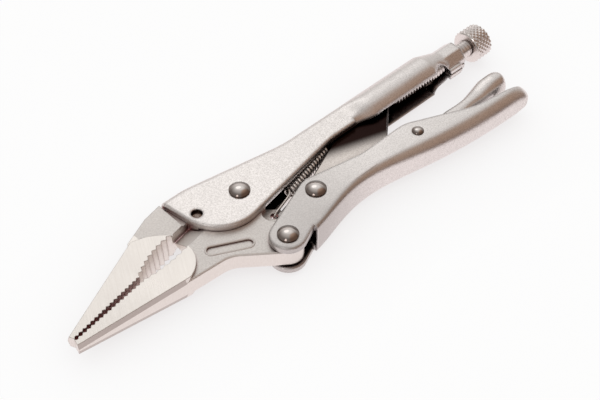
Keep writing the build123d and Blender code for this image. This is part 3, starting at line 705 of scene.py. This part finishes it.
# Round wire along a path
def makeWire():
    tree, given, made = newGroup(
        "wireAlongPath",
        "GeometryNodeTree",
        [
            ("Geometry", "NodeSocketGeometry", None),
            ("Wire", "NodeSocketFloat", 0.0006),
            ("Sides", "NodeSocketInt", 10),
            ("Material", "NodeSocketMaterial", None),
        ],
        [("Geometry", "NodeSocketGeometry")],
    )
    get = given.outputs
    ring = addNode(
        tree,
        "GeometryNodeCurvePrimitiveCircle",
        {"Resolution": get["Sides"], "Radius": doMath(tree, "MULTIPLY", get["Wire"], 0.5)},
    )
    swept = addNode(
        tree,
        "GeometryNodeCurveToMesh",
        {"Curve": get["Geometry"], "Profile Curve": ring.outputs["Curve"], "Fill Caps": True},
    )
    return endTree(tree, swept.outputs[0], get["Material"], made)


# Return spring, hooked through the moving jaw's eye and over the upper handle's tab
springFinish = {
    "grains": 5000.0, "clouds": 300.0, "dark": (0.78, 0.73, 0.69), "light": (0.92, 0.87, 0.84),
    "speckle": 0.1, "glint": (0.95, 0.92, 0.90), "pebble": 0.1, "bump": 0.1,
    # painted highlights along the edges, painted shade where the coils crowd
    "smooth": 0.30, "rough": 0.40, "round": 0.0001, "paintedEdge": 0.2, "paintedEdgeColour": (0.95, 0.92, 0.90),
    "reach": 0.0008, "shut": 0.05, "clear": 0.60, "paintedShade": (0.06, 0.03, 0.026),
}
springWire = metal("springWire", springFinish)
wireTree = makeWire()
springSizes = {
    "eye": (2.9, -11.1), "start": (12.2, -7.0), "end": (31.2, -1.6), "tab": (37.0, 2.9),
    "coil": 1.6, "wire": 0.75, "sides": 12, "turns": 16, "steps": 16,
    "hookZ": 1.45, "hookBack": 1.33, "hookRuns": (6.5, 4.0, 2.4), "hookAngles": range(-90, 91, 30),
    "lead": ((-2.4, -1.4, 0.1), (-1.0, -0.9, 0.0)), "trail": (1.0, 0.9),
    "tabHook": (
        (-2.2, -0.3, 0.6), (-0.8, 0.0, 0.0), (0.6, 0.0, 0.0), (1.9, 0.0, 0.0), (2.8, 0.2, 0.0), (2.8, 1.6, 0.0),
    ),
}


def buildSpring(sizes):
    start, end = Vector(sizes["start"]), Vector(sizes["end"])
    eye, tab = Vector(sizes["eye"]), Vector(sizes["tab"])
    coil, hookZ = sizes["coil"], sizes["hookZ"]
    way = (end - start).normalized()
    across = Vector((-way.y, way.x))
    points = []

    def put(origin, run, side, height):
        place = origin + way * run + across * side
        points.append(fromPlan(place.x, place.y, height))

    for run in sizes["hookRuns"]:
        put(eye, run, 0.0, -hookZ)
    for angle in sizes["hookAngles"]:  # through the eye
        put(eye, sizes["hookBack"] - hookZ * cos(radians(angle)), 0.0, hookZ * sin(radians(angle)))
    put(eye, sizes["hookRuns"][-1], 0.0, hookZ)
    for run, side, rise in sizes["lead"]:
        put(start, run, side, coil + rise)
    total = sizes["turns"] * sizes["steps"]
    for step in range(total + 1):
        turn = 2 * pi * step / sizes["steps"]
        put(start, (end - start).length * step / total, coil * sin(turn), coil * cos(turn))
    put(end, *sizes["trail"], coil)
    for x, y, z in sizes["tabHook"]:
        points.append(fromPlan(tab.x + x, tab.y + y, z))
    path = lineCurve("springPath", points, "NURBS")
    values = {"Wire": sizes["wire"] * milli, "Sides": sizes["sides"], "Material": springWire}
    made = bake("returnSpring", path, wireTree, values)
    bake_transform(made)
    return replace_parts(made, "return_spring")


spring = buildSpring(springSizes)
print("spring:", len(spring.data.polygons), "faces")

# Raised rim round the bare oval field of the moving jaw
rimSizes = {
    "middle": (-14.5, -12.3), "length": 13.2, "width": 3.0, "slope": -28.0, "face": 2.60,
    "wire": 0.7, "sides": 10, "steps": 12,
}


def buildRim(sizes):
    radius = sizes["width"] / 2 + sizes["wire"] / 4
    half = sizes["length"] / 2 - sizes["width"] / 2
    slope = radians(sizes["slope"])
    points = []
    for end in (1.0, -1.0):
        for step in range(sizes["steps"] + 1):
            angle = pi * (step / sizes["steps"] - 0.5)
            x = end * (half + radius * cos(angle))
            y = end * radius * sin(angle)
            x, y = x * cos(slope) - y * sin(slope), x * sin(slope) + y * cos(slope)
            points.append(fromPlan(sizes["middle"][0] + x, sizes["middle"][1] + y, sizes["face"]))
    path = lineCurve("rimPath", points)
    path.splines[0].use_cyclic_u = True
    values = {"Wire": sizes["wire"] * milli, "Sides": sizes["sides"], "Material": jawSteel}
    made = bake("fieldRim", path, wireTree, values)
    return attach(made, "jaw")


rim = buildRim(rimSizes)
print("field rim:", len(rim.data.polygons), "faces")

# Floor of white paper that keeps a soft shadow, painted from the occlusion near the object
stageSizes = {
    "floor": 3.0, "floorColour": (0.92, 0.91, 0.91), "roughness": 0.9, "paper": (1.0, 1.0, 1.0),
    "bounce": (1.0, 0.93, 0.93), "shine": 0.96, "shadow": (0.80, 0.77, 0.77), "shadowReach": 0.03,
}


def buildFloor(sizes):
    half = sizes["floor"] / 2
    mesh = bpy.data.meshes.new("floor")
    corners = [(-half, -half, 0.0), (half, -half, 0.0), (half, half, 0.0), (-half, half, 0.0)]
    mesh.from_pydata(corners, [], [(0, 1, 2, 3)])
    floor = addObject("floor", mesh)
    paper = bpy.data.materials.new("floorPaper")
    paper.use_nodes = True
    tree = paper.node_tree
    shader = tree.nodes["Principled BSDF"]
    shader.inputs["Base Color"].default_value = (*sizes["floorColour"], 1.0)
    shader.inputs["Roughness"].default_value = sizes["roughness"]
    path = addNode(tree, "ShaderNodeLightPath").outputs
    around = addNode(tree, "ShaderNodeAmbientOcclusion", {"Distance": sizes["shadowReach"]}, samples=8)
    # painted shadow on the paper that the camera sees
    shaded = blendColours(tree, around.outputs["AO"], sizes["shadow"], sizes["paper"])
    tint = blendColours(tree, path["Is Camera Ray"], sizes["bounce"], shaded)
    glow = addNode(tree, "ShaderNodeEmission", {"Color": tint, "Strength": 1.0})
    seen = doMath(tree, "MAXIMUM", path["Is Camera Ray"], path["Is Glossy Ray"])
    seen = doMath(tree, "MAXIMUM", seen, path["Is Transmission Ray"])
    seen = doMath(tree, "MULTIPLY", seen, sizes["shine"])
    mixed = addNode(tree, "ShaderNodeMixShader", {0: seen, 1: shader.outputs[0], 2: glow.outputs[0]})
    tree.links.new(mixed.outputs[0], tree.nodes["Material Output"].inputs["Surface"])
    mesh.materials.append(paper)


buildFloor(stageSizes)

# Lamps, aimed at the middle of the floor
lightSizes = {
    "key": {"place": (0.34, 0.62, 0.71), "size": 0.60, "power": 0.4, "colour": (1.0, 0.98, 0.96)},
    "fill": {"place": (-0.6, -0.2, 0.7), "size": 0.25, "power": 0.5, "colour": (1.0, 0.97, 0.96)},
}


def addLamp(name, lamp):
    light = bpy.data.lights.new(name, "AREA")
    light.shape = "DISK"
    light.size = lamp["size"]
    light.energy = lamp["power"]
    light.color = lamp["colour"]
    holder = addObject(name, light)
    holder.location = lamp["place"]
    holder.rotation_euler = (-Vector(lamp["place"])).to_track_quat("-Z", "Y").to_euler()


for lampName, lamp in lightSizes.items():
    addLamp(lampName + "Lamp", lamp)

# Studio round the object: a grey sky, a warm dark side, a light back wall and a soft box over it
worldSizes = {
    "sky": (0.50, 0.48, 0.465), "skyLow": (0.26, 0.23, 0.215), "low": 0.05, "high": 0.5,
    "dark": (0.47, -0.72, 0.42), "darkOuter": 0.50, "darkInner": 0.82,
    "room": (0.38, 0.268, 0.205), "horizon": (0.12, 0.075, 0.06),
    "back": (0.69, 0.72, 0.0), "backOuter": 0.25, "backInner": 0.65, "backFull": 0.20, "backTop": 0.42,
    "backColour": (0.70, 0.67, 0.65),
    "box": (0.44, 0.52, 0.73), "boxOuter": 0.76, "boxInner": 0.97, "boxColour": (0.80, 0.79, 0.78),
}


def buildWorld(sizes):
    world = bpy.data.worlds.new("studio")
    bpy.context.scene.world = world
    world.use_nodes = True
    tree = world.node_tree
    background = tree.nodes["Background"]
    way = addNode(tree, "ShaderNodeTexCoord").outputs["Generated"]
    height = addNode(tree, "ShaderNodeSeparateXYZ", {0: way}).outputs["Z"]

    def patch(name):
        facing = dotProduct(tree, way, Vector(sizes[name]).normalized())
        return mapRange(tree, facing, sizes[name + "Outer"], sizes[name + "Inner"], kind="SMOOTHSTEP")

    raised = mapRange(tree, height, sizes["low"], sizes["high"], kind="SMOOTHSTEP")
    sky = blendColours(tree, raised, sizes["skyLow"], sizes["sky"])
    warm = blendColours(tree, raised, sizes["horizon"], sizes["room"])
    room = blendColours(tree, patch("dark"), sky, warm)
    tall = mapRange(tree, height, sizes["backFull"], sizes["backTop"], 1.0, 0.0, kind="SMOOTHSTEP")
    room = blendColours(tree, doMath(tree, "MULTIPLY", patch("back"), tall), room, sizes["backColour"])
    light = blendColours(tree, patch("box"), room, sizes["boxColour"])
    tree.links.new(light, background.inputs["Color"])
    white = addNode(tree, "ShaderNodeBackground", {"Color": (1.0, 1.0, 1.0, 1.0), "Strength": 1.0})
    seen = addNode(tree, "ShaderNodeLightPath").outputs["Is Camera Ray"]
    mixed = addNode(tree, "ShaderNodeMixShader", {0: seen, 1: background.outputs[0], 2: white.outputs[0]})
    tree.links.new(mixed.outputs[0], tree.nodes["World Output"].inputs["Surface"])


buildWorld(worldSizes)

# The photo's camera
cameraSizes = {
    "lens": 76.8, "sensor": 36.0, "nearest": 0.01, "farthest": 20.0,
    "place": (-0.17653, -0.18087, 0.27023), "target": (-0.00724, -0.00248, 0.0065),
}


def buildCamera(sizes):
    lens = bpy.data.cameras.new("photoCamera")
    lens.lens = sizes["lens"]
    lens.sensor_width = sizes["sensor"]
    lens.clip_start = sizes["nearest"]
    lens.clip_end = sizes["farthest"]
    holder = addObject("photoCamera", lens)
    holder.location = sizes["place"]
    looking = Vector(sizes["target"]) - Vector(sizes["place"])
    holder.rotation_euler = looking.to_track_quat("-Z", "Y").to_euler()
    bpy.context.scene.camera = holder


buildCamera(cameraSizes)
bpy.context.scene.view_settings.view_transform = "Standard"
print("stage, light and camera set")
